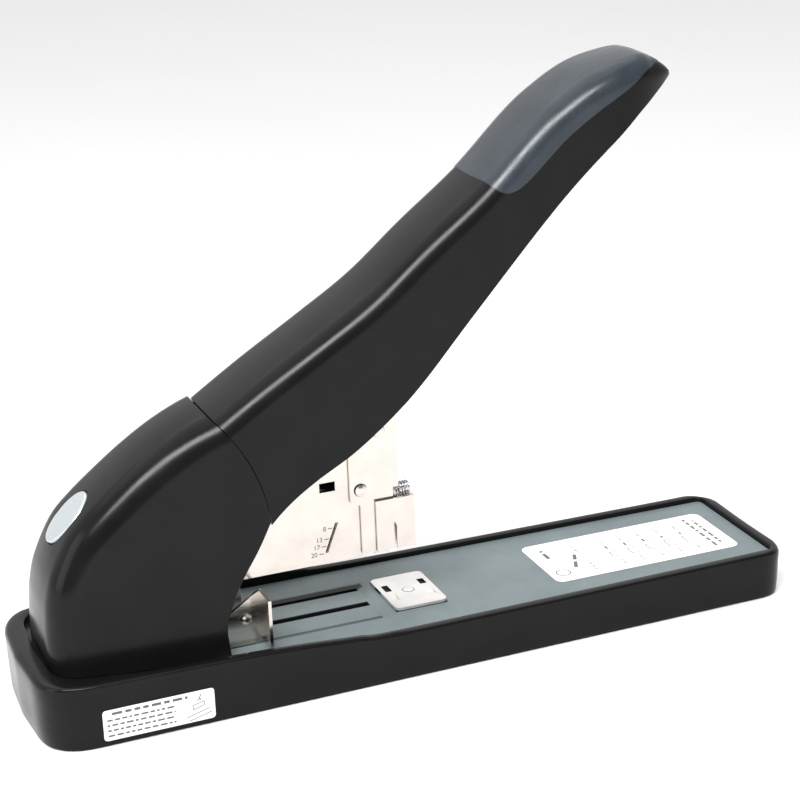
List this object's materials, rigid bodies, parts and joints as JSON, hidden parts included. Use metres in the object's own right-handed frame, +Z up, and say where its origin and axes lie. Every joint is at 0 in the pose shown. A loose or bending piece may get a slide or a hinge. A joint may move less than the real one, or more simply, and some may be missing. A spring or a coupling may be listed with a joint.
{
  "type": "heavy-duty desk stapler",
  "caption": "Heavy-duty lever stapler with a long base, front staple drawer, turning anvil, sliding paper guide and a high pressing handle over a steel head.",
  "frame": {"origin": "middle of the footprint, on the plane the feet stand on", "axes": "+X towards the open front of the base, +Z up, +Y to the far side seen from the right-hand front; the hinge axes run along Y"},
  "size_m": [0.2995, 0.0752, 0.2168],
  "materials": {
    "black_plastic": "satin moulded black",
    "slate_plastic": "fine-grained slate grey",
    "grip_rubber": "dark slate, finely textured",
    "foot_rubber": "matt black",
    "nickel": "bright nickel plate on pressed steel",
    "steel": "plain sheet and turned steel",
    "zinc": "zinc plated",
    "spring_steel": "oiled spring wire",
    "silver_plastic": "silver lacquer",
    "staple_steel": "galvanised wire, glued in a strip",
    "label_paper": "printed film"
  },
  "bodies": {
    "base": {"base_tray": "black_plastic", "base_panel": "slate_plastic", "bottom_plate": "zinc", "foot_front_near": "foot_rubber", "foot_front_far": "foot_rubber", "foot_rear_near": "foot_rubber", "foot_rear_far": "foot_rubber", "base_screw_1": "steel", "base_screw_2": "steel", "base_screw_3": "steel", "base_screw_4": "steel", "anvil_holder": "black_plastic", "anvil_spring": "spring_steel", "pivot_bracket": "steel", "bracket_screw_1": "steel", "bracket_screw_2": "steel", "head_axle": "steel", "handle_axle": "steel", "head_spring": "spring_steel", "handle_spring": "spring_steel", "rear_cover": "black_plastic", "button_seat": "zinc", "button_spring": "spring_steel", "spec_label": "label_paper", "side_label": "label_paper"},
    "anvil": {"anvil_plate": "nickel", "anvil_pin": "steel"},
    "guide": {"paper_guide": "nickel", "guide_slider": "black_plastic", "guide_rivet_near": "nickel", "guide_rivet_far": "nickel"},
    "button": {"release_button": "silver_plastic"},
    "head": {"head_frame": "nickel", "nose_frame": "nickel", "nose_rivet_lower_near": "nickel", "nose_rivet_lower_far": "nickel", "nose_rivet_upper_near": "nickel", "nose_rivet_upper_far": "nickel", "drawer_latch": "black_plastic"},
    "drawer": {"drawer_front": "nickel", "magazine_rail": "steel", "pusher_rod": "steel", "staple_strip": "staple_steel", "pusher_spring": "spring_steel", "drawer_spring_near": "spring_steel", "drawer_spring_far": "spring_steel"},
    "pusher": {"pusher": "black_plastic"},
    "driver": {"driver_blade": "steel", "driver_block": "zinc"},
    "handle": {"handle_shell": "black_plastic", "grip_pad": "grip_rubber", "handle_lever": "steel", "roller_pin": "steel"},
    "roller": {"drive_roller": "steel"}
  },
  "joints": [
    {"name": "handle_press", "type": "hinge", "parent": "base", "child": "handle", "pos_m": [-0.126, 0, 0.0596], "axis": [0, 1, 0], "range_deg": [0, 22], "stiffness_Nm_per_rad": 3, "springref_deg": -28.65, "deforming": ["handle_spring"]},
    {"name": "head_swing", "type": "hinge", "parent": "base", "child": "head", "pos_m": [-0.126, 0, 0.0308], "axis": [0, 1, 0], "range_deg": [0, 9.25], "stiffness_Nm_per_rad": 4, "springref_deg": -17.19, "deforming": ["head_spring"]},
    {"name": "driver_stroke", "type": "slide", "parent": "head", "child": "driver", "axis": [0, 0, -1], "range_m": [0, 0.0258]},
    {"name": "drawer_slide", "type": "slide", "parent": "head", "child": "drawer", "axis": [-1, 0, 0], "range_m": [-0.085, 0], "deforming": ["drawer_spring_near", "drawer_spring_far"]},
    {"name": "pusher_slide", "type": "slide", "parent": "drawer", "child": "pusher", "axis": [-1, 0, 0], "range_m": [0, 0.03], "stiffness_N_per_m": 60, "springref_m": -0.03, "deforming": ["pusher_spring"]},
    {"name": "guide_slide", "type": "slide", "parent": "base", "child": "guide", "axis": [1, 0, 0], "range_m": [0, 0.048]},
    {"name": "anvil_turn", "type": "hinge", "parent": "base", "child": "anvil", "pos_m": [0.0023, 0, 0.019], "axis": [0, 0, 1], "range_deg": [0, 180], "deforming": ["anvil_spring"]},
    {"name": "button_press", "type": "slide", "parent": "base", "child": "button", "axis": [0.7071, 0, -0.7071], "range_m": [0, 0.0025], "stiffness_N_per_m": 800, "springref_m": -0.002, "deforming": ["button_spring"]},
    {"name": "roller_spin", "type": "hinge", "parent": "handle", "child": "roller", "pos_m": [-0.018, 0, 0.1098], "axis": [0, 1, 0], "continuous": true}
  ],
  "couplings": [
    {"joint": "head_swing", "follows": "handle_press", "ratio": 0.41818},
    {"joint": "driver_stroke", "follows": "handle_press", "m_per_rad": 0.0665}
  ]
}
